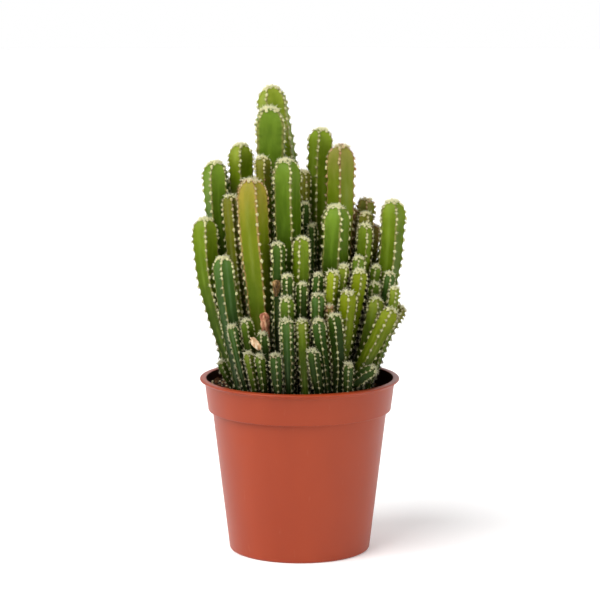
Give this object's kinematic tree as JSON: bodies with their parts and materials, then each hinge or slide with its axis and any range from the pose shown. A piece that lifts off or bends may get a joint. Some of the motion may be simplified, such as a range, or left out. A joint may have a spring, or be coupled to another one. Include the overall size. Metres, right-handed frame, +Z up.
{
  "type": "potted tall cactus",
  "caption": "Tall clump of ribbed columnar cactus stems and young shoots growing from soil in a round tapered plastic nursery pot with a rolled rim.",
  "frame": {"origin": "centre of the pot's flat underside, where it rests on the table", "axes": "+Z up along the pot's axis; the side of the plant seen in the picture faces -Y, and what is on the left there is at -X"},
  "size_m": [0.1277, 0.1205, 0.2775],
  "materials": {
    "pot_plastic": "satin",
    "potting_soil": "matte",
    "stem_skin": "satin",
    "shoot_skin": "satin",
    "dried_stem": "matte"
  },
  "bodies": {
    "root": {"pot": "pot_plastic", "soil": "potting_soil", "column_back_tallest": "stem_skin", "column_centre_square": "stem_skin", "column_centre_slim": "stem_skin", "column_centre": "stem_skin", "column_front": "stem_skin", "column_left_back": "stem_skin", "column_left": "stem_skin", "column_left_slim": "stem_skin", "column_outer_left": "stem_skin", "column_low_left": "stem_skin", "stem_dark_centre": "stem_skin", "stem_centre": "stem_skin", "column_right_centre": "stem_skin", "column_right_back": "stem_skin", "column_right_red": "stem_skin", "stem_right_brown": "stem_skin", "stem_right_hidden": "stem_skin", "stem_right_green": "stem_skin", "column_outer_right": "stem_skin", "shoot_right_01": "shoot_skin", "shoot_right_02": "shoot_skin", "shoot_right_03": "shoot_skin", "shoot_right_04": "shoot_skin", "shoot_right_05": "shoot_skin", "shoot_right_06": "shoot_skin", "shoot_right_07": "shoot_skin", "shoot_right_08": "shoot_skin", "shoot_right_09": "shoot_skin", "shoot_right_10": "shoot_skin", "shoot_right_11": "shoot_skin", "shoot_right_12": "shoot_skin", "shoot_front_01": "shoot_skin", "shoot_front_02": "shoot_skin", "shoot_front_03": "shoot_skin", "shoot_front_04": "shoot_skin", "shoot_front_05": "shoot_skin", "shoot_front_06": "shoot_skin", "shoot_front_07": "shoot_skin", "shoot_front_08": "shoot_skin", "shoot_front_09": "shoot_skin", "shoot_front_10": "shoot_skin", "shoot_front_11": "shoot_skin", "shoot_front_12": "shoot_skin", "shoot_front_13": "shoot_skin", "shoot_front_14": "shoot_skin", "shoot_front_15": "shoot_skin", "shoot_front_16": "shoot_skin", "back_stem_01": "stem_skin", "back_stem_02": "stem_skin", "back_stem_03": "stem_skin", "back_stem_04": "stem_skin", "back_stem_05": "stem_skin", "back_stem_06": "stem_skin", "back_stem_07": "stem_skin", "back_stem_08": "stem_skin", "back_stem_09": "stem_skin", "back_stem_10": "stem_skin", "dried_shoot": "dried_stem"}
  },
  "joints": []
}
